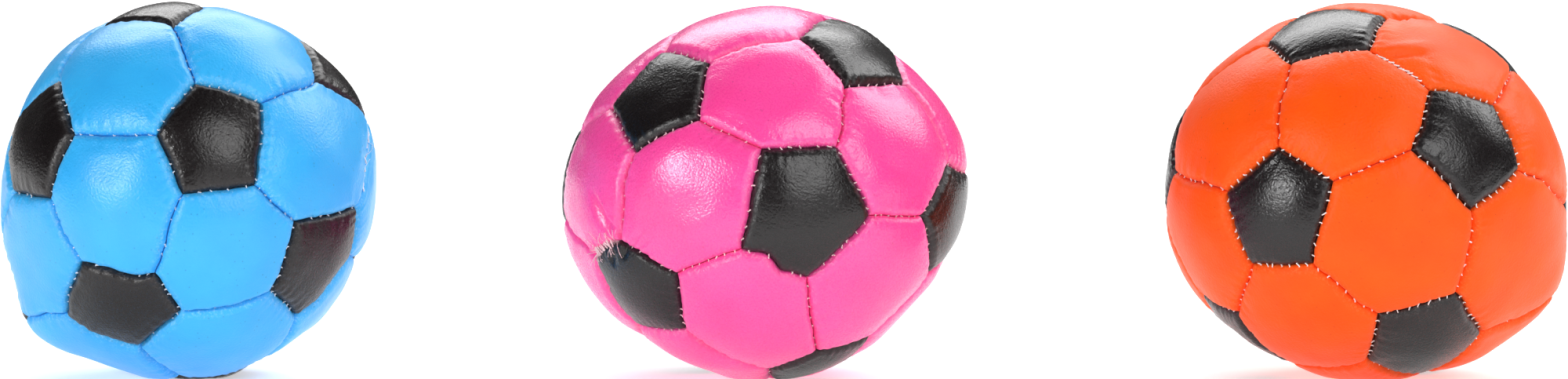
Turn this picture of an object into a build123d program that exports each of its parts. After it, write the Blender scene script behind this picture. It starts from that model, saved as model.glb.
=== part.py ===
from build123d import *

import os
from dataclasses import dataclass
from math import acos, asin, atan, atan2, cos, pi, sin, sqrt

# Three soft stitched mini footballs, standing in a row on a table.
#
# Each ball is a stuffed skin of twelve black pentagons and twenty coloured hexagons. A panel is
# a crowned face of coated fabric whose edges turn in, where they are sewn to the neighbours'
# edges. Inside is one body of fibre filling. The sewing is a thread along every seam, and the
# whipped stitches that closed the last seam once the ball was filled.
#
# The frame is Z up, X along the row and Y to the back, with the origin on the table at the
# middle of the row. Each ball stands on a small flat that its own weight presses into it.

# Skin and sewing, in millimetres.
SKIN = 1.0                  # thickness of the coated fabric
SEAM_GAP = 0.3              # between the turned-in edges of two neighbours
BULGE_RADIUS = 36.0         # radius of a stuffed panel's crown
EDGE_ROUND = 1.8            # where a panel's face turns in at a seam
ALLOWANCE_END_RADIUS = 42.0  # the turned-in edges reach in to this radius
FILLING_CLEARANCE = 0.2     # between the filling and the skin
THREAD_RADIUS = 0.25
THREAD_DEPTH = 0.75         # of the seam thread, below the higher crown's edge
THREAD_SHARE = 0.86         # of a seam's length that its thread runs along
WHIP_RADIUS = 0.3
WHIP_LENGTH = 4.0
WHIP_HEIGHT = 0.65          # of a whipped stitch's middle, above the higher crown's edge
WHIP_COUNT = 6
WHIP_SHARE = 0.8            # of the closed seam's length that the whipped stitches cover

FLAT_DEPTH = 1.5            # how far its weight presses a ball's underside in
BEYOND = 80.0               # from a ball's centre, well past its outside


@dataclass
class Ball:
    """One ball, as the ellipsoid that its panels' crowns touch.

    middle is its place along the row. width, depth and height are along X, Y and Z, the height
    from the table. turn is the angle in degrees about X, then Y, then Z, from a ball with a
    pentagon on top. closed_seam names the panels on the two sides of the seam sewn last.
    """

    middle: float
    width: float
    depth: float
    height: float
    turn: tuple
    closed_seam: tuple


BALLS = {
    "blue": Ball(-155.5, 97.5, 98.5, 98.2, (6.2, -6.5, -5.0), ("hexagon 07", "hexagon 13")),
    "pink": Ball(-5.2, 105.9, 103.0, 96.9, (17.2, 30.6, -6.4), ("pentagon 10", "hexagon 11")),
    "orange": Ball(151.5, 106.0, 103.0, 97.4, (13.6, -23.7, 23.4), ("hexagon 01", "hexagon 02")),
}

# Angles of a truncated icosahedron, seen from its centre.
GOLDEN = (1 + sqrt(5)) / 2
CORNER_RADIUS = sqrt(9 * GOLDEN + 10) / 2       # in edge lengths
PENTAGON_HALF_ANGLE = asin(0.5 / sin(pi / 5) / CORNER_RADIUS)
HEXAGON_HALF_ANGLE = asin(1 / CORNER_RADIUS)
RING_LATITUDE = atan(0.5)                       # of the pentagons between the poles
NEIGHBOUR_COSINE = 1 / sqrt(5)                  # between two pentagons' axes


def direction(latitude, longitude):
    """The unit vector at a latitude and longitude in radians."""
    return Vector(
        cos(latitude) * cos(longitude), cos(latitude) * sin(longitude), sin(latitude)
    )


def pentagon_axes():
    """The twelve pentagons' axes: the top one, two rings of five, and the bottom one."""
    step = 2 * pi / 5
    upper = [direction(RING_LATITUDE, step * k) for k in range(5)]
    lower = [direction(-RING_LATITUDE, step * (k + 0.5)) for k in range(5)]
    return [Vector(0, 0, 1), *upper, *lower, Vector(0, 0, -1)]


def are_neighbours(a, b):
    return abs(a.dot(b) - NEIGHBOUR_COSINE) < 0.01


def hexagon_axes(pentagons):
    """The twenty hexagons' axes, each in the middle of three neighbouring pentagons, from the
    top down."""
    found = []
    for i, a in enumerate(pentagons):
        for j in range(i + 1, 12):
            for k in range(j + 1, 12):
                b, c = pentagons[j], pentagons[k]
                if are_neighbours(a, b) and are_neighbours(b, c) and are_neighbours(a, c):
                    found.append((a + b + c).normalized())
    return sorted(found, key=lambda axis: (-round(axis.Z, 3), atan2(axis.Y, axis.X)))


def turned(vector, turn):
    for axis, angle in zip((Axis.X, Axis.Y, Axis.Z), turn):
        vector = vector.rotate(axis, angle)
    return vector


@dataclass
class Panel:
    """One panel: its axis from the ball's centre, and its corners' directions in order."""

    name: str
    axis: Vector
    corners: list

    @property
    def lean(self):
        """The angle between the panel's axis and each of its seam planes."""
        middle = (self.corners[0] + self.corners[1]).normalized()
        return acos(self.axis.dot(middle))


def panels_of(ball):
    """The ball's twelve pentagons, then its twenty hexagons from the top ring down, turned as
    the ball is."""
    pentagons = pentagon_axes()
    corners = [
        (a * 2 + b).normalized() for a in pentagons for b in pentagons if are_neighbours(a, b)
    ]

    def panel(name, axis, half_angle):
        own = [c for c in corners if abs(acos(axis.dot(c)) - half_angle) < 0.02]
        facing = Plane(origin=(0, 0, 0), z_dir=axis)
        own.sort(key=lambda c: atan2(c.dot(facing.y_dir), c.dot(facing.x_dir)))
        return Panel(name, turned(axis, ball.turn), [turned(c, ball.turn) for c in own])

    return [
        *(panel(f"pentagon {k:02d}", axis, PENTAGON_HALF_ANGLE)
          for k, axis in enumerate(pentagons, 1)),
        *(panel(f"hexagon {k:02d}", axis, HEXAGON_HALF_ANGLE)
          for k, axis in enumerate(hexagon_axes(pentagons), 1)),
    ]


def half_sizes(ball):
    """Half the ball's width, depth and height, before the table flattens its underside."""
    return ball.width / 2, ball.depth / 2, (ball.height + FLAT_DEPTH) / 2


def centre_of(ball):
    return Vector(ball.middle, 0, ball.height - half_sizes(ball)[2])


def crown_centre(ball, axis):
    """The centre of a panel's crown, from the ball's centre. The crown touches the ball's
    ellipsoid where the panel's axis meets it."""
    a, b, c = half_sizes(ball)
    reach = 1 / sqrt((axis.X / a) ** 2 + (axis.Y / b) ** 2 + (axis.Z / c) ** 2)
    touch = axis * reach
    outward = Vector(touch.X / a**2, touch.Y / b**2, touch.Z / c**2).normalized()
    return touch - outward * BULGE_RADIUS


def crown_reach(ball, panel_axis, ray):
    """How far from the ball's centre a ray leaves a panel's crown."""
    middle = crown_centre(ball, panel_axis)
    along = middle.dot(ray)
    return along + sqrt(along**2 - middle.dot(middle) + BULGE_RADIUS**2)


def pyramid(panel):
    """The space between a panel's seam planes, with its point at the ball's centre."""
    tip = Vector(0, 0, 0)
    base = [c * (BEYOND / c.dot(panel.axis)) for c in panel.corners]
    sides = [
        Face(Wire.make_polygon([tip, a, b], close=True))
        for a, b in zip(base, [*base[1:], base[0]])
    ]
    return Solid(Shell([*sides, Face(Wire.make_polygon(base, close=True))]))


def crowned_block(ball, panel, inset, rounding=0.0):
    """A panel's pyramid under its crown, inset evenly from the crown, the middle of each seam
    gap and the table, and rounded where the crown meets the seam planes."""
    centre = centre_of(ball)
    side_inset = SEAM_GAP / 2 + inset
    block = Pos(panel.axis * (side_inset / sin(panel.lean))) * pyramid(panel)
    # The sphere's poles lie square to the panel's axis and its meridian seam faces inwards, so
    # that the crown is free of both.
    laid = Plane(
        origin=crown_centre(ball, panel.axis),
        x_dir=-panel.axis,
        z_dir=panel.corners[0].cross(panel.axis),
    )
    block &= laid.location * Sphere(BULGE_RADIUS - inset)
    if rounding:
        rim = [e for e in block.edges() if e.geom_type == GeomType.CIRCLE]
        block = fillet(rim, rounding)
    block = Pos(centre) * block
    if block.bounding_box().min.Z < inset:
        kept = Box(2 * BEYOND, 2 * BEYOND, 2 * BEYOND, align=(Align.CENTER, Align.CENTER, Align.MIN))
        block &= Pos(ball.middle, 0, inset) * kept
    return block


def make_panel(ball, panel):
    """A panel as a shallow tray: the crowned face, with its edges turned in."""
    outside = crowned_block(ball, panel, 0, EDGE_ROUND)
    inside = crowned_block(ball, panel, SKIN)
    return outside - inside - Pos(centre_of(ball)) * Sphere(ALLOWANCE_END_RADIUS)


def make_filling(ball, panels):
    """The filling: a round core, and a crowned lump behind every panel."""
    inset = SKIN + FILLING_CLEARANCE
    lumps = [crowned_block(ball, p, inset) for p in panels]
    core = Pos(centre_of(ball)) * Sphere(ALLOWANCE_END_RADIUS - FILLING_CLEARANCE)
    return core.fuse(*lumps)


def seams_of(panels):
    """Every seam once, as (panel, panel, corner, corner)."""
    found = []
    for i, first in enumerate(panels):
        for second in panels[i + 1 :]:
            shared = [
                c for c in first.corners if any((c - d).length < 1e-6 for d in second.corners)
            ]
            if len(shared) == 2:
                found.append((first, second, *shared))
    return found


def seam_point(ball, seam, share, height):
    """A point along a seam, at a share of its length and a height above the higher of the two
    crowns' edges."""
    first, second, start, end = seam
    ray = (start * (1 - share) + end * share).normalized()
    reach = max(crown_reach(ball, panel.axis, ray) for panel in (first, second))
    return centre_of(ball) + ray * (reach + height)


def make_thread(ball, seam):
    """The thread along one seam, in the groove between the two rounded edges."""
    margin = (1 - THREAD_SHARE) / 2
    shares = (margin, 0.5, 1 - margin)
    path = ThreePointArc(*(seam_point(ball, seam, share, -THREAD_DEPTH) for share in shares))
    return sweep(Plane(origin=path @ 0, z_dir=path % 0) * Circle(THREAD_RADIUS), path)


def make_whips(ball, seam):
    """The whipped stitches that closed one seam, lying straight across it."""
    across = (seam[0].axis - seam[1].axis).normalized()
    whips = []
    for k in range(WHIP_COUNT):
        share = 0.5 + WHIP_SHARE * (k / (WHIP_COUNT - 1) - 0.5)
        lie = Plane(origin=seam_point(ball, seam, share, WHIP_HEIGHT), z_dir=across)
        whips.append(lie.location * Cylinder(WHIP_RADIUS, WHIP_LENGTH))
    return whips


def save(pieces, name):
    solids = [solid for piece in pieces for solid in piece.solids()]
    export_step(Compound(solids), f"parts/{name}.step")


def export_ball(colour, ball):
    panels = panels_of(ball)
    pentagons, hexagons = panels[:12], panels[12:]
    for k, panel in enumerate(pentagons, 1):
        save([make_panel(ball, panel)], f"{colour}_ball_black_pentagon_{k:02d}")
    for ring in range(4):
        pieces = [make_panel(ball, panel) for panel in hexagons[5 * ring : 5 * ring + 5]]
        save(pieces, f"{colour}_ball_hexagons_ring_{ring + 1}")
    save([make_filling(ball, panels)], f"{colour}_ball_fibre_filling")
    seams = seams_of(panels)
    save([make_thread(ball, seam) for seam in seams], f"{colour}_ball_seam_thread")
    closed = next(s for s in seams if {s[0].name, s[1].name} == set(ball.closed_seam))
    save(make_whips(ball, closed), f"{colour}_ball_closing_thread")


if __name__ == "__main__":
    os.makedirs("parts", exist_ok=True)
    for colour, ball in BALLS.items():
        export_ball(colour, ball)
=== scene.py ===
import math
from dataclasses import dataclass

import bpy
import numpy as np
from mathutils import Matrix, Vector


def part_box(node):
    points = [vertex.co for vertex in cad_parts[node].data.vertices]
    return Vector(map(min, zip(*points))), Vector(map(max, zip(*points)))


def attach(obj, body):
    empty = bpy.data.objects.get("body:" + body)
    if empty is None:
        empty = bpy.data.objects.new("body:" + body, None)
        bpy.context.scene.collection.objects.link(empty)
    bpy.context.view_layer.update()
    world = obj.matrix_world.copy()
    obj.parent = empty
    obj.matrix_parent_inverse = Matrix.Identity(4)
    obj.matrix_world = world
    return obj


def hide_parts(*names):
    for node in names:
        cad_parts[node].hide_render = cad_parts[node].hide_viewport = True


# The looks of three soft stitched mini footballs: blue, pink and orange, in a row.
#
# Every panel of a ball is a sheet of coated fabric, crowned by the filling behind it, that
# rolls over at each seam into an edge turned inwards. The seams' pattern, each ball's place,
# size and turn all come from the CAD frame. Lengths are in metres, and the constants in
# millimetres are multiplied by MM.

MM = 0.001

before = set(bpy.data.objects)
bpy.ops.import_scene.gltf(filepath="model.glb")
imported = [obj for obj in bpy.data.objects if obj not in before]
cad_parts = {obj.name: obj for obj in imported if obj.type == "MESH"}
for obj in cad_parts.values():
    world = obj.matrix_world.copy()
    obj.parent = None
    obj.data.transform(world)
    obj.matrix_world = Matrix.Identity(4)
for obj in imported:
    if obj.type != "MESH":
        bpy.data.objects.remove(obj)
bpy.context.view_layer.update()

# The front view: to its right, up it, and towards the viewer.
VIEW_TILT = math.radians(6)
RIGHT = np.array([1.0, 0.0, 0.0])
UP = np.array([0.0, math.sin(VIEW_TILT), math.cos(VIEW_TILT)])
TOWARDS = np.array([0.0, -math.cos(VIEW_TILT), math.sin(VIEW_TILT)])


def on_front(angle):
    """The direction on the front view at an angle in degrees, turning from right to up."""
    return RIGHT * math.cos(math.radians(angle)) + UP * math.sin(math.radians(angle))


# ---------------------------------------------------------------- the pattern of a ball

GOLDEN = (1 + math.sqrt(5)) / 2
CORNER_RADIUS = math.sqrt(9 * GOLDEN + 10) / 2      # of the pattern, in seam lengths
RING_LATITUDE = math.atan(0.5)


def unit(vectors):
    return vectors / np.linalg.norm(vectors, axis=-1, keepdims=True)


def pentagon_axes():
    """The twelve pentagons' axes: the top one, two rings of five and the bottom one."""
    axes = [(0, 0, 1)]
    flat, rise = math.cos(RING_LATITUDE), math.sin(RING_LATITUDE)
    for side, first in ((1, 0.0), (-1, 0.5)):
        for k in range(5):
            around = 2 * math.pi / 5 * (k + first)
            axes.append((flat * math.cos(around), flat * math.sin(around), side * rise))
    axes.append((0, 0, -1))
    return np.array(axes)


PENTAGONS = pentagon_axes()
NEIGHBOURS = np.abs(PENTAGONS @ PENTAGONS.T - 1 / math.sqrt(5)) < 0.01


def hexagon_axes():
    """The twenty hexagons' axes, from the top ring down, as the CAD rings list them."""
    found = []
    for i in range(12):
        for j in range(i + 1, 12):
            for k in range(j + 1, 12):
                if NEIGHBOURS[i, j] and NEIGHBOURS[j, k] and NEIGHBOURS[i, k]:
                    found.append(unit(PENTAGONS[i] + PENTAGONS[j] + PENTAGONS[k]))
    found.sort(key=lambda a: (-round(a[2], 3), math.atan2(a[1], a[0])))
    return np.array(found)


AXES = np.concatenate([PENTAGONS, hexagon_axes()])
CORNERS = np.array([unit(2 * PENTAGONS[i] + PENTAGONS[j]) for i, j in np.argwhere(NEIGHBOURS)])


def corners_of(panel):
    """The numbers of a panel's corners, in order round it."""
    axis = AXES[panel]
    count = 5 if panel < 12 else 6
    own = np.argsort(-(CORNERS @ axis))[:count]
    side = unit(CORNERS[own[0]] - axis * (CORNERS[own[0]] @ axis))
    other = np.cross(axis, side)
    return own[np.argsort(np.arctan2(CORNERS[own] @ other, CORNERS[own] @ side))]


PANEL_CORNERS = [corners_of(p) for p in range(32)]


def shared_seams():
    """Every seam once: (panel, panel, first corner, last corner), the corners by number."""
    seams = {}
    for panel, own in enumerate(PANEL_CORNERS):
        for a, b in zip(own, np.roll(own, -1)):
            seams.setdefault((min(a, b), max(a, b)), []).append(panel)
    return [(*panels, *ends) for ends, panels in seams.items()]


SEAMS = shared_seams()


# ---------------------------------------------------------------- how each ball is made

# How a panel is stuffed and sewn, in millimetres.
CROWN_DROP = 1.2        # from a panel's middle to its edge, besides the roll at the seam
CROWN_REACH = 3.6       # how far in from the seam that drop fades
PUFF = 0.35             # room left in a panel's middle for the cloth to swell into
PUFF_REACH = 2.5        # how far in from the seam that room opens
ROLLING_HEIGHT = 0.45   # of the slow waves over the whole ball
LUMP_HEIGHT = 0.12      # of the small lumps of the filling
ROLL_DEPTH = 1.6        # how deep the edge rolls in at the seam
ROLL_WIDTH = 1.6
LIP_PLACE = 2.3         # the ridge over the turned-in edge, in from the seam
LIP_WIDTH = 1.1
LIP_HEIGHTS = (0.03, 0.3)
EDGE_BLEND = 0.8        # how sharply one edge's shape hands over to the next at a corner
STITCH_COUNT = 7        # stitches along a seam
STITCH_PITCH = 2.75
PUCKER_DEPTH = 0.13     # how far a stitch draws the edge in
PUCKER_REACH = 1.5
CREASE_HEIGHT = 0.2     # the small creases that run in from a seam
CREASE_PITCH = 2.4      # from one crease to the next, about
CREASE_REACH = 3.0
CREASE_START = 0.8
TURN_IN = 3.6           # depth of the turned-in edge below the seam
TURN_GAP = 0.12         # between the edge and the seam's middle
TURN_BEND = 0.7         # depth at which the turned-in edge has left the seam
STUFFING_RANGE = 0.35   # how much fuller or flatter one panel is stuffed than the next
STUFFING_REACH = 6.0    # from a seam to where a panel is stuffed fully
SHEET = 0.75            # thickness of the sheet
FLAT_DEPTH = 1.5        # how far the ball's weight presses its underside in
SEAM_WANDER = 0.45      # how far a seam strays sideways from its pattern
CORNER_WANDER = 0.35

GRID = 20               # quads along each side of a panel's sector


@dataclass
class Look:
    """What is particular to one ball. Places and moves are in millimetres on the front view,
    right and up, from the ball's middle."""
    seed: int
    closed_seam: tuple      # the two panels whose seam was closed last, by hand
    stitch_reach: tuple     # of a stitch each side of a seam: round a pentagon, and elsewhere
    stitch_shown: float     # the share of the stitches that show
    whip_reach: float       # of the closing stitches
    loose_hairs: int        # of thread at the closed seam
    pulls: dict             # how far the sewing has pulled a corner (by number) out of place
    lumps: list             # (angle on the outline from the right, height, width in degrees)
    folds: list             # (right, up, angle, length, width, height)
    pushes: list            # (right, up, move right, move up, reach): seams bowed or stepped


LOOKS = {
    "blue": Look(
        seed=11,
        closed_seam=(18, 24),
        stitch_reach=(0.3, 0.24),
        stitch_shown=0.6,
        whip_reach=0.8,
        loose_hairs=5,
        pulls={
            0: (-6, 1.5), 3: (-4, 1), 4: (-2, 1), 5: (-1, 2.5), 7: (0.5, 4), 9: (2, 9),
            20: (-1, 1.5), 21: (-1.5, -1.5), 22: (-1.5, -0.5), 25: (-1, -0.5), 26: (0, 3),
            27: (2.5, -0.5), 41: (-5, 1), 43: (-7, -2), 45: (-1, 0.5), 46: (0.5, -3),
            47: (-4.5, 1), 48: (-3.5, 1), 49: (-3.5, 1), 50: (2.5, 4), 51: (0, 4), 52: (1, 5),
            53: (1, 2), 54: (0.5, 3),
        },
        lumps=[
            (27, 2.3, 17), (72, -1.2, 12), (174, -1.0, 12), (196, 0.9, 10), (221, 6.0, 14.5),
            (305, -1.8, 16), (330, -0.8, 12),
        ],
        folds=[],
        pushes=[(-13, -21, 0, -2.8, 6.5)],
    ),
    "pink": Look(
        seed=23,
        closed_seam=(9, 22),
        stitch_reach=(0.34, 0.25),
        stitch_shown=0.85,
        whip_reach=1.1,
        loose_hairs=40,
        pulls={
            0: (1, 1), 1: (3, -1), 2: (4.5, 0.5), 3: (3.5, 1.5), 5: (1, -3.5), 7: (-1, -0.5),
            9: (0, 1.5), 20: (-2, -0.5), 22: (-1, 0.5), 25: (2.5, 1), 27: (1, 5), 28: (-1.5, -1),
            29: (-2, -0.5), 45: (-1, -2), 46: (-2, 0.5), 47: (0.5, 1.5), 48: (-1, 1),
            51: (-1, -4), 53: (3, -2),
        },
        lumps=[
            (11, 1.8, 16), (58, 0.9, 10), (138, -2.2, 18), (195, 0.8, 10), (235, -1.6, 14),
            (250, -1.2, 10), (320, -3.6, 20),
        ],
        folds=[
            (-42.6, -4, -72, 9, 0.6, -1.1), (-41, -6.5, -68, 8, 0.6, -1.0),
            (-39, -8.5, -50, 5, 0.55, -0.8), (-33, -11.5, 60, 4.5, 0.6, -0.8),
            (-31, -12.5, 50, 4, 0.6, -0.7), (-29, -14.5, 40, 4, 0.6, -0.6),
            (-35.8, -14.5, 80, 4, 0.6, -0.8), (-39, -16, 110, 4, 0.6, -0.7),
            (-37.5, -9, 100, 5, 0.5, -0.5),
        ],
        pushes=[(0.5, -15.5, 0, 1.4, 2.8), (5.5, -19, -0.4, -1.1, 2.4)],
    ),
    "orange": Look(
        seed=37,
        closed_seam=(12, 13),
        stitch_reach=(0.42, 0.28),
        stitch_shown=1.0,
        whip_reach=0.5,
        loose_hairs=0,
        pulls={
            0: (2.5, 0), 1: (-2, 1), 2: (1, 1.5), 3: (-1, 3.5), 7: (3.5, -2), 15: (-2, -1.5),
            17: (-2, -0.5), 20: (-1, -0.5), 22: (-2, 2), 24: (-2, 0), 25: (1.5, 1), 26: (0.5, -1),
            27: (0, 4), 28: (0.5, 1), 43: (-2, -1), 45: (1, -1.5), 46: (1.5, -1.5), 47: (1, -1),
            48: (-0.5, -2), 49: (0, -3), 51: (3, 0), 53: (5.5, -2),
        },
        lumps=[
            (15, -0.8, 10), (50, -0.9, 12), (88, -0.8, 14), (130, -0.8, 10), (173, -1.0, 12),
            (231, -2.2, 14), (303, 1.6, 10), (332, 4.6, 16),
        ],
        folds=[
            (9.5, 35.6, 3, 13, 0.7, -1.0), (9, 37.5, 5, 12, 1.0, 0.5),
            (9, 45.2, -20, 8, 0.8, -1.0), (14.5, 34.6, -25, 4, 0.5, -0.5),
            (17.5, 29, -20, 4, 0.45, -0.3), (16.5, 31, -24, 4, 0.45, -0.3),
            (24, 33, -25, 9, 1.6, -0.35), (40, 22, -60, 8, 1.4, -0.4),
        ],
        pushes=[],
    ),
}


class Waves:
    """Smooth noise: a sum of plane waves about one wavelength long, between about -1 and 1."""

    def __init__(self, rng, wavelength, count=24, dimensions=3, values=1):
        directions = unit(rng.normal(size=(values, count, dimensions)))
        lengths = wavelength * rng.uniform(0.7, 1.4, size=(values, count, 1))
        self.waves = directions * 2 * math.pi / lengths
        self.starts = rng.uniform(0, 2 * math.pi, size=(values, count))
        self.share = math.sqrt(2 / count) / 1.6

    def __call__(self, points):
        phases = np.einsum("pd,vcd->pvc", points, self.waves) + self.starts
        values = np.sin(phases).sum(axis=-1) * self.share
        return values if values.shape[1] > 1 else values[:, 0]


class Ball:
    """A ball's place and turn, from its CAD nodes, and the shape of its skin."""

    def __init__(self, colour):
        self.body = f"{colour}_ball"
        self.look = LOOKS[colour]
        self.pentagon_nodes = [f"{self.body}_black_pentagon_{k:02d}" for k in range(1, 13)]
        self.ring_nodes = [f"{self.body}_hexagons_ring_{k}" for k in range(1, 5)]
        boxes = [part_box(node) for node in self.pentagon_nodes + self.ring_nodes]
        low = np.min([np.array(b[0]) for b in boxes], axis=0)
        high = np.max([np.array(b[1]) for b in boxes], axis=0)
        self.half = (high - low) / 2
        self.half[2] += FLAT_DEPTH * MM / 2
        self.centre = (high + low) / 2
        self.centre[2] = high[2] - self.half[2]
        self.radius = self.half.mean()
        self.seam_length = self.radius / CORNER_RADIUS / MM
        self.turn = self.turn_of_nodes()
        self.rng = rng = np.random.default_rng(self.look.seed)
        self.rolling = Waves(rng, 30 * MM)
        self.lumpy = Waves(rng, 11 * MM)
        self.straying = Waves(rng, 15 * MM, values=3)
        self.ragged = Waves(rng, 5 * MM, values=3)
        self.stuffing = rng.uniform(-STUFFING_RANGE, STUFFING_RANGE, size=32)
        self.lips = rng.uniform(*LIP_HEIGHTS, size=(32, 6))
        self.creases = [
            [Waves(rng, CREASE_PITCH, count=14, dimensions=1) for _ in range(6)] for _ in range(32)
        ]
        self.corners = self.pulled_corners(rng)
        self.moves = None
        self.grids = {}

    def turn_of_nodes(self):
        """The rotation that takes the pattern's pentagons to the CAD pentagons."""
        found = []
        for node in self.pentagon_nodes:
            found.append(mesh_points(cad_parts[node].data).mean(axis=0) - self.centre)
        u, _, v = np.linalg.svd(unit(np.array(found)).T @ PENTAGONS)
        return u @ np.diag([1, 1, np.linalg.det(u @ v)]) @ v

    def pulled_corners(self, rng):
        """The directions of the seams' corners, strayed and pulled out of the exact pattern."""
        stray = rng.normal(size=CORNERS.shape) * CORNER_WANDER * MM / self.radius
        corners = unit(CORNERS @ self.turn.T + stray)
        seam_half = self.half - (CROWN_DROP + ROLL_DEPTH) * MM
        for corner, (right, up) in self.look.pulls.items():
            place = corners[corner] / np.linalg.norm(corners[corner] / seam_half)
            flat = (place @ RIGHT + right * MM) * RIGHT + (place @ UP + up * MM) * UP
            a = ((TOWARDS / seam_half) ** 2).sum()
            b = (TOWARDS * flat / seam_half**2).sum()
            c = ((flat / seam_half) ** 2).sum() - 1
            corners[corner] = unit(flat + TOWARDS * (-b + math.sqrt(max(b * b - a * c, 0))) / a)
        return corners

    def edge_places(self, panel, weights):
        """For points of a panel, each given as weights of its corners: (distance in from each
        seam, way along it), in millimetres on the flat pattern."""
        own = PANEL_CORNERS[panel]
        flat = weights @ CORNERS[own]
        scale = self.radius / MM
        inward, along = [], []
        for a, b in zip(own, np.roll(own, -1)):
            start, end = CORNERS[min(a, b)], CORNERS[max(a, b)]
            run = unit(end - start)
            across = unit(CORNERS[own].mean(axis=0) - (start + end) / 2)
            inward.append((flat - start) @ across * scale)
            along.append((flat - start) @ run * scale)
        return np.maximum(np.stack(inward, axis=1), 0), np.stack(along, axis=1)

    def directions(self, panel, weights):
        """The way out from the ball's middle to points of a panel."""
        direction = unit(weights @ self.corners[PANEL_CORNERS[panel]])
        on_ball = direction * self.radius
        stray = (self.straying(on_ball) + 0.3 * self.ragged(on_ball)) * SEAM_WANDER
        for right, up, move_right, move_up, reach in self.look.pushes:
            from_place = (on_ball / MM) @ np.array([RIGHT, UP]).T - (right, up)
            share = np.exp(-(from_place**2).sum(axis=1) / reach**2) * (on_ball @ TOWARDS > 0)
            stray += share[:, None] * (move_right * RIGHT + move_up * UP)
        return unit(on_ball + stray * MM)

    def crowned(self, panel, weights, direction):
        """How high the stuffed panel stands, in millimetres, without the work at its seams."""
        inward, _ = self.edge_places(panel, weights)
        nearest = inward.min(axis=1)
        edge = -EDGE_BLEND * np.log(np.exp(-inward / EDGE_BLEND).sum(axis=1))
        edge = np.clip(edge, 0, None) * (nearest > 1e-4)
        height = -CROWN_DROP * np.exp(-edge / CROWN_REACH)
        height -= PUFF * (1 - np.exp(-edge / PUFF_REACH))
        height += self.stuffing[panel] * (1 - np.exp(-nearest / STUFFING_REACH))
        on_ball = direction * self.radius
        height += ROLLING_HEIGHT * self.rolling(on_ball) + LUMP_HEIGHT * self.lumpy(on_ball)
        for angle, rise, width in self.look.lumps:
            towards_lump = on_front(angle)
            apart = np.degrees(np.arccos(np.clip(direction @ towards_lump, -1, 1)))
            height += rise * np.exp(-((apart / width) ** 2))
        return height

    def sewn(self, panel, weights):
        """What the seams add to that height: the rolled edge, its lip, puckers and creases."""
        inward, along = self.edge_places(panel, weights)
        count = inward.shape[1]
        nearest = inward.min(axis=1)
        share = np.exp(-(inward - nearest[:, None]) / EDGE_BLEND)
        share /= share.sum(axis=1, keepdims=True)
        roll = 1 - np.clip(nearest / ROLL_WIDTH, 0, 1)
        lip = self.lips[panel, :count] * np.exp(-(((inward - LIP_PLACE) / LIP_WIDTH) ** 2))
        phase = (along - self.seam_length / 2) / STITCH_PITCH
        pucker = -PUCKER_DEPTH * np.cos(math.pi * phase) ** 4 * np.exp(-inward / PUCKER_REACH)
        waves = self.creases[panel][:count]
        crease = np.stack([wave(along[:, e : e + 1]) for e, wave in enumerate(waves)], axis=1)
        crease *= CREASE_HEIGHT * np.exp(-inward / CREASE_REACH)
        crease *= 1 - np.exp(-inward / CREASE_START)
        worked = (share * (lip + pucker + crease)).sum(axis=1)
        return worked - ROLL_DEPTH * (1 - np.sqrt(1 - roll**2)), nearest

    def folded(self, points):
        """What the pinched folds on the ball's front add to the height."""
        height = np.zeros(len(points))
        out = (points - self.centre) / MM
        for right, up, angle, length, width, rise in self.look.folds:
            along = on_front(angle)
            across = np.cross(TOWARDS, along)
            from_middle = out - right * RIGHT - up * UP
            ends = (from_middle @ along / (length / 2)) ** 4
            shape = np.exp(-ends - (from_middle @ across / width) ** 2)
            height += rise * shape * (out @ TOWARDS > 0)
        return height

    def move_at(self, panel, weights):
        """How far the cloth has moved at one point of a panel."""
        if panel not in self.grids:
            self.grids[panel] = panel_sectors(panel, GRID)[0] @ CORNERS[PANEL_CORNERS[panel]]
        apart = ((self.grids[panel] - weights @ CORNERS[PANEL_CORNERS[panel]]) ** 2).sum(axis=1)
        near = np.argsort(apart)[:4]
        share = 1 / (apart[near] + 1e-9)
        return (self.moves[panel][near] * share[:, None]).sum(axis=0) / share.sum()

    def at_height(self, direction, height):
        reach = 1 / np.sqrt(((direction / self.half) ** 2).sum(axis=1))
        points = self.centre + direction * (reach + height * MM)[:, None]
        points[:, 2] = np.maximum(points[:, 2], 0)
        return points

    def skin(self, panel, weights):
        """The skin's points for points of a panel, and how far in each is from its seam."""
        direction = self.directions(panel, weights)
        sewn, nearest = self.sewn(panel, weights)
        height = self.crowned(panel, weights, direction) + sewn
        points = self.at_height(direction, height)
        if self.look.folds:
            points = self.at_height(direction, height + self.folded(points))
        return points, nearest


def mesh_points(mesh):
    points = np.zeros(len(mesh.vertices) * 3)
    mesh.vertices.foreach_get("co", points)
    return points.reshape(-1, 3)


# ---------------------------------------------------------------- grids over the panels

def graded(count):
    """Steps from 0 to 1 that close up towards 1, where the seam is."""
    return 1 - (1 - np.linspace(0, 1, count + 1)) ** 1.5


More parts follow.
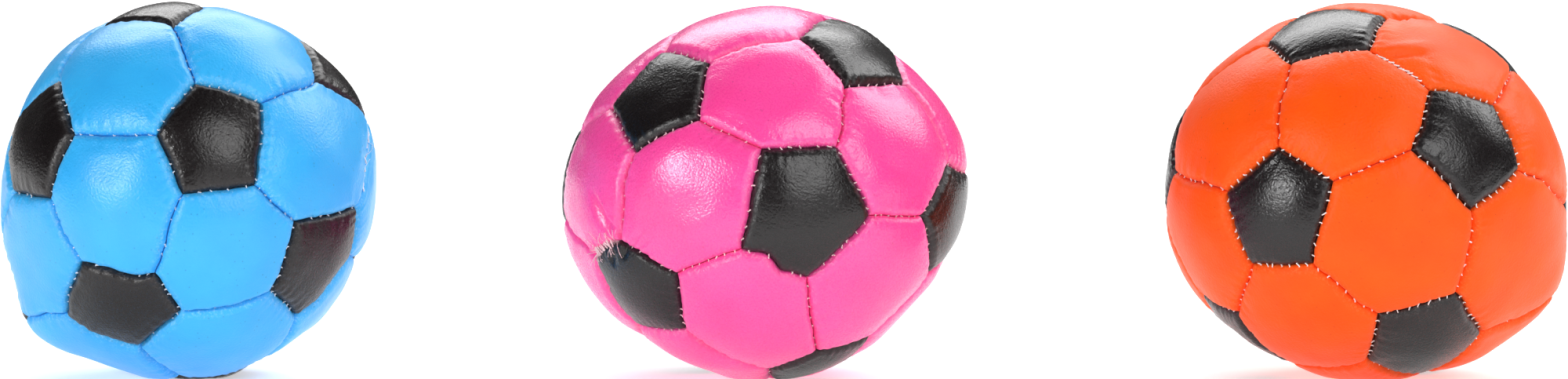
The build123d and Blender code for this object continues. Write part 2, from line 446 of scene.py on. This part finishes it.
def panel_sectors(panel, count):
    """A panel as a square grid for each corner, from the panel's middle to the middles of the
    corner's two seams. Gives the grids' points, as weights of the corners, and their quads."""
    corners = len(PANEL_CORNERS[panel])
    u, v = np.meshgrid(graded(count), graded(count), indexing="ij")
    weights = np.zeros((corners, count + 1, count + 1, corners))
    for k in range(corners):
        weights[k] += ((1 - u) * (1 - v) / corners)[..., None]
        weights[k, ..., k] += u * v + (u * (1 - v) + (1 - u) * v) / 2
        weights[k, ..., k - 1] += u * (1 - v) / 2
        weights[k, ..., (k + 1) % corners] += (1 - u) * v / 2
    number = np.arange(corners * (count + 1) ** 2).reshape(corners, count + 1, count + 1)
    sides = number[:, :-1, :-1], number[:, 1:, :-1], number[:, 1:, 1:], number[:, :-1, 1:]
    return weights.reshape(-1, corners), np.stack(sides, axis=-1).reshape(-1, 4)


def merged(places):
    """Which of the places to keep, one for each different place, and each one's number."""
    rounded = np.round(places, 6)
    _, first, number = np.unique(rounded, axis=0, return_index=True, return_inverse=True)
    return first, number.reshape(-1)


def rim_of(quads):
    """The grid's outer edges, each in the direction its quad runs."""
    edges = np.concatenate([quads[:, [k, (k + 1) % 4]] for k in range(4)])
    either_way = np.sort(edges, axis=1)
    _, where, times = np.unique(either_way, axis=0, return_index=True, return_counts=True)
    return edges[where[times == 1]]


def new_piece(name, points, faces, smooth=True):
    mesh = bpy.data.meshes.new(name)
    mesh.from_pydata(points.tolist(), [], [[int(v) for v in f] for f in faces])
    mesh.update()
    if smooth:
        mesh.shade_smooth()
    piece = bpy.data.objects.new(name, mesh)
    bpy.context.scene.collection.objects.link(piece)
    return piece


def set_values(piece, name, kind, field, values):
    """Stores a value for every vertex, for the piece's material to read."""
    attribute = piece.data.attributes.new(name, kind, "POINT")
    attribute.data.foreach_set(field, values.astype(np.float32).reshape(-1))


# ---------------------------------------------------------------- the panels

def panel_sheet(ball, panel):
    """One panel's outer side: the crowned skin, and its edge turned in below the seams."""
    weights, quads = panel_sectors(panel, GRID)
    first, number = merged(weights @ CORNERS[PANEL_CORNERS[panel]])
    weights, quads = weights[first], number[quads]
    points, nearest = ball.skin(panel, weights)
    if ball.moves is not None:
        points = points + ball.moves[panel][first]
        points[:, 2] = np.maximum(points[:, 2], 0)
    rim = rim_of(quads)
    edge = np.unique(rim)
    middle = points.mean(axis=0)
    sheets, depths, faces = [points], [nearest], [quads]
    place = {v: v for v in edge}
    for depth in (TURN_BEND, TURN_IN):
        down = unit(ball.centre - points[edge]) * depth * MM
        aside = unit(middle - points[edge]) * TURN_GAP * MM
        start = sum(len(s) for s in sheets)
        sheets.append(points[edge] + down + aside)
        depths.append(np.full(len(edge), -depth))
        lower = {v: start + k for k, v in enumerate(edge)}
        faces.append(np.array([(place[a], lower[a], lower[b], place[b]) for a, b in rim]))
        place = lower
    return np.concatenate(sheets), np.concatenate(faces), np.concatenate(depths)


def panel_piece(ball, name, panels):
    """The piece that stands for one CAD node of panels. Each panel's grain runs its own way."""
    points, faces, depths, grains = [], [], [], []
    start = 0
    for panel in panels:
        p, f, d = panel_sheet(ball, panel)
        out = unit(ball.turn @ AXES[panel])
        angle = ball.rng.uniform(0, 2 * math.pi)
        side = unit(np.cross(out, (0.3, 0.5, 0.8)))
        along = side * math.cos(angle) + np.cross(out, side) * math.sin(angle)
        grain = (p - ball.centre) @ np.array([along, np.cross(out, along), out]).T
        points.append(p)
        faces.append(f + start)
        depths.append(d)
        grains.append(grain + ball.rng.uniform(0, 5, size=3))
        start += len(p)
    piece = new_piece(name, np.concatenate(points), np.concatenate(faces))
    set_values(piece, "seam_distance", "FLOAT", "value", np.concatenate(depths))
    set_values(piece, "grain_place", "FLOAT_VECTOR", "vector", np.concatenate(grains))
    sheet = piece.modifiers.new("sheet", "SOLIDIFY")
    sheet.thickness = SHEET * MM
    sheet.offset = -1
    return piece


# ---------------------------------------------------------------- the threads

# In millimetres, apart from the two counts.
THREAD_RADIUS = 0.19
THREAD_STAND = 0.13     # of a stitch's crown above the skin
STITCH_SLANT = 0.25     # between a stitch's two ends, along the seam
STITCH_MARGIN = 0.8     # from the last stitch of a seam to the seam's end
STITCH_SAG = 0.05       # of a stitch's middle, over the seam
LEAST_REACH = 0.2
HOLE_DEPTH = 0.45
WHIP_RADIUS = 0.22
WHIP_STAND = 0.2
WHIP_SLANT = 0.9
WHIP_COUNT = 9
WHIP_PITCH = 1.55
HAIR_RADIUS = 0.06
HAIR_LENGTHS = (2.5, 6.0)
HAIR_SPREAD = 8.5       # along the seam, to each side of its middle
HAIR_STEPS = 10


class Tubes:
    """A mesh of closed tubes, each along its own path."""

    def __init__(self, sides=6):
        self.sides = sides
        self.points = []
        self.faces = []

    def add(self, path, radius):
        """A tube along a path in metres, its radius in millimetres."""
        steps = unit(np.gradient(path, axis=0))
        normal = unit(np.cross(steps[0], (0.31, 0.47, 0.83)))
        start = len(self.points) * self.sides
        turns = np.arange(self.sides) * 2 * math.pi / self.sides
        for place, step in zip(path, steps):
            normal = unit(normal - step * (normal @ step))
            other = np.cross(step, normal)
            ring = np.outer(np.cos(turns), normal) + np.outer(np.sin(turns), other)
            self.points.append(place + ring * radius * MM)
        for row in range(len(path) - 1):
            base = start + row * self.sides
            for k in range(self.sides):
                after = (k + 1) % self.sides
                over = base + self.sides
                self.faces.append((base + k, base + after, over + after, over + k))
        self.faces.append(tuple(range(start + self.sides - 1, start - 1, -1)))
        end = start + (len(path) - 1) * self.sides
        self.faces.append(tuple(range(end, end + self.sides)))

    def piece(self, name):
        points = np.concatenate(self.points)
        points[:, 2] = np.maximum(points[:, 2], 0)
        return new_piece(name, points, self.faces)


def beside_seam(ball, panel, ends, along, inward, lift):
    """A point beside a seam on one of its panels: along the seam from its middle, in from it
    and above the skin, all in millimetres."""
    own = list(PANEL_CORNERS[panel])
    depth = inward / (ball.seam_length / 2 / math.tan(math.pi / len(own)))
    weights = np.full(len(own), depth / len(own))
    share = 0.5 + along / ball.seam_length
    weights[own.index(ends[0])] += (1 - depth) * (1 - share)
    weights[own.index(ends[1])] += (1 - depth) * share
    point = ball.skin(panel, weights[None])[0][0]
    if ball.moves is not None:
        point = point + ball.move_at(panel, weights)
    return point + unit(point - ball.centre) * lift * MM


def stitch_path(ball, seam, along, reach, slant, height=THREAD_STAND):
    """A thread over a seam, from a hole in one panel to a hole in the other."""
    first, second, *ends = seam
    path = []
    for inward, lift in ((reach + 0.1, -HOLE_DEPTH), (reach, 0.0), (reach - 0.15, height)):
        path.append(beside_seam(ball, first, ends, along - slant / 2, inward, lift))
    path.append(None)
    for inward, lift in ((reach - 0.15, height), (reach, 0.0), (reach + 0.1, -HOLE_DEPTH)):
        path.append(beside_seam(ball, second, ends, along + slant / 2, inward, lift))
    path[3] = (path[2] + path[4]) / 2
    path[3] -= unit(path[3] - ball.centre) * STITCH_SAG * MM
    return np.array(path)


def seam_thread(ball, name):
    """The stitches that show across every seam."""
    rng = ball.rng
    tubes = Tubes()
    for seam in SEAMS:
        by_pentagon = min(seam[:2]) < 12
        reach = ball.look.stitch_reach[0 if by_pentagon else 1]
        for k in range(STITCH_COUNT):
            along = (k - (STITCH_COUNT - 1) / 2) * STITCH_PITCH + rng.normal(0, 0.22)
            slant = rng.normal(STITCH_SLANT, 0.3)
            own_reach = max(reach * rng.uniform(0.75, 1.25), LEAST_REACH)
            shown = rng.uniform() < ball.look.stitch_shown
            if shown and abs(along) < ball.seam_length / 2 - STITCH_MARGIN:
                radius = THREAD_RADIUS * rng.uniform(0.85, 1.1)
                tubes.add(stitch_path(ball, seam, along, own_reach, slant), radius)
    return tubes.piece(name)


def closing_thread(ball, name):
    """The whipping that closes the last seam, and the loose hairs of its thread."""
    rng = ball.rng
    tubes = Tubes(sides=8)
    first, second = ball.look.closed_seam
    seam = next(s for s in SEAMS if {s[0], s[1]} == {first, second})
    for k in range(WHIP_COUNT):
        along = (k - (WHIP_COUNT - 1) / 2) * WHIP_PITCH + rng.normal(0, 0.15)
        reach = ball.look.whip_reach * rng.uniform(0.8, 1.2)
        slant = rng.normal(WHIP_SLANT, 0.5)
        tubes.add(stitch_path(ball, seam, along, reach, slant, WHIP_STAND), WHIP_RADIUS)
    for k in range(ball.look.loose_hairs):
        along = rng.uniform(-HAIR_SPREAD, HAIR_SPREAD)
        path = [beside_seam(ball, seam[k % 2], seam[2:], along, 0.5, -0.2)]
        out = unit(path[0] - ball.centre)
        side = unit(np.cross(out, rng.normal(size=3)))
        bend = np.cross(out, side)
        length, turn = rng.uniform(*HAIR_LENGTHS), rng.uniform(-2.5, 2.5)
        for step in np.linspace(0, 1, HAIR_STEPS)[1:]:
            along_hair = side * math.sin(turn * step) + bend * math.cos(turn * step)
            rise = out * (0.5 + 0.66 * math.sin(math.pi * step)) * (1 - step)
            path.append(path[-1] + (along_hair + rise) * length / HAIR_STEPS * MM)
        tubes.add(np.array(path), HAIR_RADIUS)
    return tubes.piece(name)


# ---------------------------------------------------------------- the filling

FILLING_GRID = 6
FILLING_DEPTH = 1.3     # below the skin in the middle of a panel
FILLING_WAIST = 5.6     # more than that below a seam
FILLING_WAIST_WIDTH = 2.4
FILLING_LUMPS = 0.25
FILLING_LUMP_SIZE = 1.7     # how much finer they are than the skin's
UNDER_SHEET = 0.3           # between the filling's underside and the sheet it rests on


def fibre_filling(ball, name):
    """The fibre that stuffs the ball: one closed lumpy form, waisted behind every seam."""
    points, faces, flats = [], [], []
    start = 0
    for panel in range(32):
        weights, quads = panel_sectors(panel, FILLING_GRID)
        direction = ball.directions(panel, weights)
        inward, _ = ball.edge_places(panel, weights)
        nearest = inward.min(axis=1)
        waist = FILLING_WAIST * np.exp(-((nearest / FILLING_WAIST_WIDTH) ** 2))
        height = ball.crowned(panel, weights, direction) - FILLING_DEPTH - waist
        lumps = ball.lumpy(direction * ball.radius * FILLING_LUMP_SIZE)
        height += FILLING_LUMPS * lumps * (nearest > 3)
        points.append(ball.at_height(direction, height))
        flats.append(weights @ CORNERS[PANEL_CORNERS[panel]])
        faces.append(quads + start)
        start += len(weights)
    points = np.concatenate(points)
    first, number = merged(np.concatenate(flats))
    points = points[first]
    points[:, 2] = np.maximum(points[:, 2], (SHEET + UNDER_SHEET) * MM)
    return new_piece(name, points, number[np.concatenate(faces)])


# ---------------------------------------------------------------- the cloth simulation

CLOTH_GRID = GRID // 2
CLOTH_FRAMES = 16
CLOTH_SCALE = 40.0      # the cloth is simulated at this many times its size
CLOTH_SLACK = 0.01      # how much wider the cloth is cut than the form it covers
CLOTH_PRESSURE = 4.0
CLOTH_CAP = 0.6         # how far the cloth may move, in millimetres


def between_steps(values, axis):
    """Twice as many steps along an axis of a grid of values, joined by smooth curves."""
    v = np.moveaxis(values, axis, 0)
    padded = np.concatenate([2 * v[:1] - v[1:2], v, 2 * v[-1:] - v[-2:-1]])
    middles = (9 * (padded[1:-2] + padded[2:-1]) - padded[:-3] - padded[3:]) / 16
    out = np.empty((2 * len(v) - 1, *v.shape[1:]))
    out[0::2], out[1::2] = v, middles
    return np.moveaxis(out, 0, axis)


def inflate(ball):
    """Blows the ball's skin up as cloth that is held along its seams, and gives for each panel
    how far the points of its grid move."""
    flats, points, quads, pins = [], [], [], []
    start = 0
    for panel in range(32):
        weights, own_quads = panel_sectors(panel, CLOTH_GRID)
        direction = ball.directions(panel, weights)
        flats.append(weights @ CORNERS[PANEL_CORNERS[panel]])
        height = ball.crowned(panel, weights, direction)
        points.append(ball.at_height(direction, height) - ball.centre)
        pins.append(ball.edge_places(panel, weights)[0].min(axis=1) < 1e-3)
        quads.append(own_quads + start)
        start += len(weights)
    first, number = merged(np.concatenate(flats))
    begin = np.concatenate(points)[first] * CLOTH_SCALE
    cover = new_piece("inflating_cover", begin, number[np.concatenate(quads)])
    held = cover.vertex_groups.new(name="seams")
    held.add([int(v) for v in np.flatnonzero(np.concatenate(pins)[first])], 1.0, "REPLACE")
    settings = cover.modifiers.new("cloth", "CLOTH").settings
    settings.vertex_group_mass = "seams"
    settings.quality = 6
    settings.mass = 0.4
    settings.tension_stiffness = 20
    settings.compression_stiffness = 20
    settings.shear_stiffness = 8
    settings.bending_stiffness = 0.4
    settings.shrink_min = -CLOTH_SLACK
    settings.use_pressure = True
    settings.uniform_pressure_force = CLOTH_PRESSURE
    settings.effector_weights.gravity = 0
    scene = bpy.context.scene
    for step in range(1, CLOTH_FRAMES + 1):
        scene.frame_set(step)
    blown = cover.evaluated_get(bpy.context.evaluated_depsgraph_get())
    moves = (mesh_points(blown.data) - begin) / CLOTH_SCALE
    bpy.data.objects.remove(cover)
    scene.frame_set(1)

    far = np.linalg.norm(moves, axis=1, keepdims=True) / MM
    moves *= CLOTH_CAP / np.maximum(far, CLOTH_CAP)
    moves = moves[number]
    shared, start = {}, 0
    for panel in range(32):
        corners = len(PANEL_CORNERS[panel])
        count = corners * (CLOTH_GRID + 1) ** 2
        grid = moves[start : start + count].reshape(corners, CLOTH_GRID + 1, CLOTH_GRID + 1, 3)
        shared[panel] = between_steps(between_steps(grid, 1), 2).reshape(-1, 3)
        start += count
    return shared


# ---------------------------------------------------------------- materials

def material(name, build):
    found = bpy.data.materials.new(name)
    found.use_nodes = True
    tree = found.node_tree
    build(tree, tree.nodes["Principled BSDF"])
    return found


def add_node(tree, kind, **settings):
    """A node with its inputs set by name: a value, or the output that feeds it."""
    node = tree.nodes.new(kind)
    for key, value in settings.items():
        if key.startswith("set_"):
            setattr(node, key[4:], value)
            continue
        by_number = key[0] == "i" and key[1:].isdigit()
        socket = node.inputs[int(key[1:]) if by_number else key]
        if isinstance(value, bpy.types.NodeSocket):
            tree.links.new(value, socket)
        else:
            socket.default_value = value
    return node


def maths(tree, operation, a, b):
    return add_node(tree, "ShaderNodeMath", set_operation=operation, i0=a, i1=b).outputs[0]


def ramp_between(tree, value, low, high):
    """0 at low and below, 1 at high and above."""
    node = add_node(tree, "ShaderNodeMapRange", Value=value)
    node.inputs["From Min"].default_value = low
    node.inputs["From Max"].default_value = high
    return node.outputs[0]


def mixed(tree, share, first, second):
    node = add_node(tree, "ShaderNodeMix", set_data_type="RGBA", i0=share)
    for socket, value in ((node.inputs[6], first), (node.inputs[7], second)):
        if isinstance(value, bpy.types.NodeSocket):
            tree.links.new(value, socket)
        else:
            socket.default_value = (*value, 1)
    return node.outputs[2]


def noise(tree, place, scale, detail, roughness=0.5, distortion=0.0):
    settings = {"Scale": scale, "Detail": detail, "Roughness": roughness, "Distortion": distortion}
    return add_node(tree, "ShaderNodeTexNoise", Vector=place, **settings).outputs["Fac"]


def stored(tree, name, output):
    """A value stored at the mesh's vertices."""
    return add_node(tree, "ShaderNodeAttribute", set_attribute_name=name).outputs[output]


ACROSS_GRAIN = (0.62, 0.45, 0.3)        # turns the noise, so that its lattice can't show as rings
STREAK_SCALE = (220.0, 1100.0, 220.0)   # the faint creases are long and narrow
RUBBED_REACH = (2.6, 0.2)               # mm from a seam: where the rubbed band starts and is full, rougher there and painted paler, the paleness partly wear and partly painted highlight
ROUGHNESS_RANGE = 0.14
BUMP_DISTANCE = 0.00009


def coated_fabric(base, deep, worn, roughness, crease, sheen, wear, gloss):
    """Soft coated fabric: a fine pebbled grain and faint creases that run one way on each
    panel, pores, mottled colour, and a coating rubbed rough beside the seams and painted paler
    there, partly wear and partly a painted highlight along the rolled edges."""
    def build(tree, shader):
        along_grain = stored(tree, "grain_place", "Vector")
        seam = stored(tree, "seam_distance", "Fac")
        turned = add_node(tree, "ShaderNodeMapping", Vector=along_grain, Rotation=ACROSS_GRAIN)
        place = turned.outputs[0]
        pebbles = add_node(
            tree, "ShaderNodeTexVoronoi", set_feature="SMOOTH_F1", Vector=place, Scale=1900.0
        )
        grain = noise(tree, place, 1500.0, detail=3.0, roughness=0.5)
        stretched = add_node(tree, "ShaderNodeMapping", Vector=along_grain, Scale=STREAK_SCALE)
        streaks = noise(tree, stretched.outputs[0], 1.0, detail=2.0, distortion=0.9)
        mottle = noise(tree, place, 75.0, detail=3.0)
        fluff = noise(tree, place, 1400.0, detail=4.0, roughness=0.75)
        pores = add_node(tree, "ShaderNodeTexVoronoi", Vector=place, Scale=430.0)

        beside = ramp_between(tree, seam, *RUBBED_REACH)
        patchy = ramp_between(tree, fluff, 0.5, 0.66)
        # Beside the seams the colour is mixed towards a paler one: partly rubbed wear, partly a
        # painted highlight standing in for the light on the rolled edges.
        wear_and_highlight_share = maths(tree, "MULTIPLY", maths(tree, "MULTIPLY", beside, patchy), wear)
        pored = ramp_between(tree, pores.outputs["Distance"], 0.13, 0.07)
        colour = mixed(tree, ramp_between(tree, mottle, 0.3, 0.7), base, deep)
        pore_colour = tuple(c * 0.3 for c in base)
        colour = mixed(tree, maths(tree, "MULTIPLY", pored, 0.35), colour, pore_colour)
        colour = mixed(tree, wear_and_highlight_share, colour, worn)
        tree.links.new(colour, shader.inputs["Base Color"])

        uneven = maths(tree, "MULTIPLY", grain, ROUGHNESS_RANGE)
        dull = maths(tree, "MULTIPLY", beside, ROUGHNESS_RANGE)
        smoothest = roughness - ROUGHNESS_RANGE / 2
        rough = maths(tree, "ADD", maths(tree, "ADD", uneven, dull), smoothest)
        tree.links.new(rough, shader.inputs["Roughness"])

        height = maths(tree, "MULTIPLY", pebbles.outputs["Distance"], 0.55)
        height = maths(tree, "ADD", height, grain)
        height = maths(tree, "ADD", height, maths(tree, "MULTIPLY", streaks, crease))
        crumpled = maths(tree, "MULTIPLY", fluff, maths(tree, "MULTIPLY", beside, 1.6))
        height = maths(tree, "ADD", height, crumpled)
        bump = add_node(tree, "ShaderNodeBump", Height=height, Distance=BUMP_DISTANCE)
        tree.links.new(bump.outputs[0], shader.inputs["Normal"])
        shader.inputs["Sheen Weight"].default_value = sheen
        shader.inputs["Sheen Roughness"].default_value = 0.35
        shader.inputs["Specular IOR Level"].default_value = gloss
    return build


def twisted_thread(colour, speck):
    """Spun thread: fine fibres with small darker gaps."""
    def build(tree, shader):
        place = add_node(tree, "ShaderNodeTexCoord").outputs["Object"]
        fibres = noise(tree, place, 3200.0, detail=3.0)
        share = ramp_between(tree, fibres, 0.35, 0.6)
        tree.links.new(mixed(tree, share, speck, colour), shader.inputs["Base Color"])
        bump = add_node(tree, "ShaderNodeBump", Height=fibres, Distance=0.00008)
        tree.links.new(bump.outputs[0], shader.inputs["Normal"])
        shader.inputs["Roughness"].default_value = 0.65
        shader.inputs["Sheen Weight"].default_value = 0.3
    return build


def loose_fibre(tree, shader):
    """Off-white polyester fibre, tangled."""
    place = add_node(tree, "ShaderNodeTexCoord").outputs["Object"]
    tangle = noise(tree, place, 240.0, detail=6.0, distortion=2.0)
    colour = mixed(tree, tangle, (0.62, 0.6, 0.57), (0.9, 0.89, 0.87))
    tree.links.new(colour, shader.inputs["Base Color"])
    bump = add_node(tree, "ShaderNodeBump", Height=tangle, Distance=0.0006)
    tree.links.new(bump.outputs[0], shader.inputs["Normal"])
    shader.inputs["Roughness"].default_value = 0.9
    shader.inputs["Sheen Weight"].default_value = 0.4


def fabric(colour, **settings):
    return material(f"{colour}_coated_fabric", coated_fabric(**settings))


# Each finish's paler colour for beside the seams is partly rubbed wear and partly a painted
# highlight along the rolled edges.
SKINS = {
    "black": fabric(
        "black",
        base=(0.0078, 0.0055, 0.006), deep=(0.0055, 0.004, 0.0044), worn=(0.12, 0.11, 0.11),
        roughness=0.28, crease=0.7, sheen=0.01, wear=0.5, gloss=0.5,
    ),
    "blue": fabric(
        "blue",
        base=(0.032, 0.44, 0.9), deep=(0.025, 0.39, 0.86), worn=(0.45, 0.78, 1.0),
        roughness=0.36, crease=0.3, sheen=0.06, wear=0.5, gloss=0.56,
    ),
    "pink": fabric(
        "pink",
        base=(0.97, 0.07, 0.35), deep=(0.97, 0.055, 0.31), worn=(1.0, 0.42, 0.62),
        roughness=0.28, crease=0.25, sheen=0.06, wear=0.5, gloss=0.75,
    ),
    "orange": fabric(
        "orange",
        base=(0.98, 0.098, 0.001), deep=(0.98, 0.08, 0.0005), worn=(1.0, 0.3, 0.1),
        roughness=0.45, crease=0.25, sheen=0.1, wear=0.4, gloss=0.22,
    ),
}
THREADS = {
    "blue": material("blue_ball_thread", twisted_thread((0.88, 0.88, 0.9), (0.5, 0.6, 0.75))),
    "pink": material("pink_ball_thread", twisted_thread((0.95, 0.72, 0.75), (0.75, 0.4, 0.45))),
    "orange": material(
        "orange_ball_thread", twisted_thread((0.97, 0.95, 0.94), (0.82, 0.76, 0.74))
    ),
}
FIBRE = material("fibre_filling", loose_fibre)


# ---------------------------------------------------------------- the pieces

def dress(piece, ball, finish, node):
    piece.data.materials.append(finish)
    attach(piece, ball.body)
    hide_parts(node)


for colour in LOOKS:
    ball = Ball(colour)
    ball.moves = inflate(ball)
    for panel, node in enumerate(ball.pentagon_nodes):
        piece = panel_piece(ball, f"{node}_cover", [panel])
        dress(piece, ball, SKINS["black"], node)
    for ring, node in enumerate(ball.ring_nodes):
        piece = panel_piece(ball, f"{node}_cover", range(12 + 5 * ring, 17 + 5 * ring))
        dress(piece, ball, SKINS[colour], node)
    piece = seam_thread(ball, f"{ball.body}_stitches")
    dress(piece, ball, THREADS[colour], f"{ball.body}_seam_thread")
    piece = closing_thread(ball, f"{ball.body}_closing_stitches")
    dress(piece, ball, THREADS[colour], f"{ball.body}_closing_thread")
    piece = fibre_filling(ball, f"{ball.body}_stuffing")
    dress(piece, ball, FIBRE, f"{ball.body}_fibre_filling")


# ---------------------------------------------------------------- floor, light and camera

PAPER = 60.0
PAPER_DROP = 0.0002     # below the balls, so that the two don't share a plane
CAMERA_DISTANCE = 4.0
VIEW_WIDTH = 0.409
VIEW_MIDDLE = 0.0487    # height of the point the camera looks at
SENSOR = 36.0


def look_along(direction):
    return Vector(direction).to_track_quat("-Z", "Y").to_euler()


def add_floor():
    half = PAPER / 2
    points = np.array([(-half, -half, 0), (half, -half, 0), (half, half, 0), (-half, half, 0)])
    floor = new_piece("paper_floor", points, [(0, 1, 2, 3)], smooth=False)
    floor.location.z = -PAPER_DROP
    paper = bpy.data.materials.new("paper")
    paper.use_nodes = True
    shader = paper.node_tree.nodes["Principled BSDF"]
    shader.inputs["Base Color"].default_value = (0.8, 0.8, 0.8, 1)
    shader.inputs["Roughness"].default_value = 0.9
    shader.inputs["Specular IOR Level"].default_value = 0.1
    shader.inputs["Emission Color"].default_value = (1, 1, 1, 1)
    shader.inputs["Emission Strength"].default_value = 0.5
    floor.data.materials.append(paper)


def add_softbox(name, azimuth, height_angle, distance, size, power):
    """A softbox aimed at the balls: azimuth in degrees to the right of the front, seen from
    above, and height angle in degrees above the floor."""
    lamp = bpy.data.lights.new(name, "AREA")
    lamp.shape = "RECTANGLE"
    lamp.size, lamp.size_y = size
    lamp.energy = power
    box = bpy.data.objects.new(name, lamp)
    bpy.context.scene.collection.objects.link(box)
    around, rise = math.radians(azimuth), math.radians(height_angle)
    level = math.cos(rise)
    out = np.array([math.sin(around) * level, -math.cos(around) * level, math.sin(rise)])
    box.location = out * distance + np.array([0, 0, VIEW_MIDDLE])
    box.rotation_euler = look_along(-out)
    box.visible_camera = False


def add_camera():
    data = bpy.data.cameras.new("camera")
    data.sensor_width = SENSOR
    data.lens = SENSOR * CAMERA_DISTANCE / VIEW_WIDTH
    data.clip_end = 200
    camera = bpy.data.objects.new("camera", data)
    bpy.context.scene.collection.objects.link(camera)
    camera.location = np.array([0, 0, VIEW_MIDDLE]) + TOWARDS * CAMERA_DISTANCE
    camera.rotation_euler = look_along(-TOWARDS)
    bpy.context.scene.camera = camera


def add_world(front, back):
    """A studio that is dim in front of the balls and pale behind, above and beside them."""
    world = bpy.data.worlds.new("studio")
    world.use_nodes = True
    tree = world.node_tree
    way = add_node(tree, "ShaderNodeTexCoord").outputs["Generated"]
    deep = add_node(tree, "ShaderNodeSeparateXYZ", Vector=way).outputs["Y"]
    share = add_node(tree, "ShaderNodeMapRange", set_interpolation_type="SMOOTHSTEP", Value=deep)
    for name, value in (("From Min", 0.1), ("From Max", 0.85), ("To Min", front), ("To Max", back)):
        share.inputs[name].default_value = value
    tree.links.new(share.outputs[0], tree.nodes["Background"].inputs["Strength"])
    bpy.context.scene.world = world


add_floor()
add_softbox("key", -45, 17, 2.2, (0.3, 0.3), 21)
add_softbox("fill", 32, 28, 2.4, (1.3, 1.3), 26)
add_softbox("rim", 117, 44, 2.0, (1.1, 1.5), 28)
add_softbox("back", 6, 135, 2.0, (1.7, 1.3), 36)
add_world(0.16, 1.3)
add_camera()
bpy.context.scene.view_settings.view_transform = "Standard"
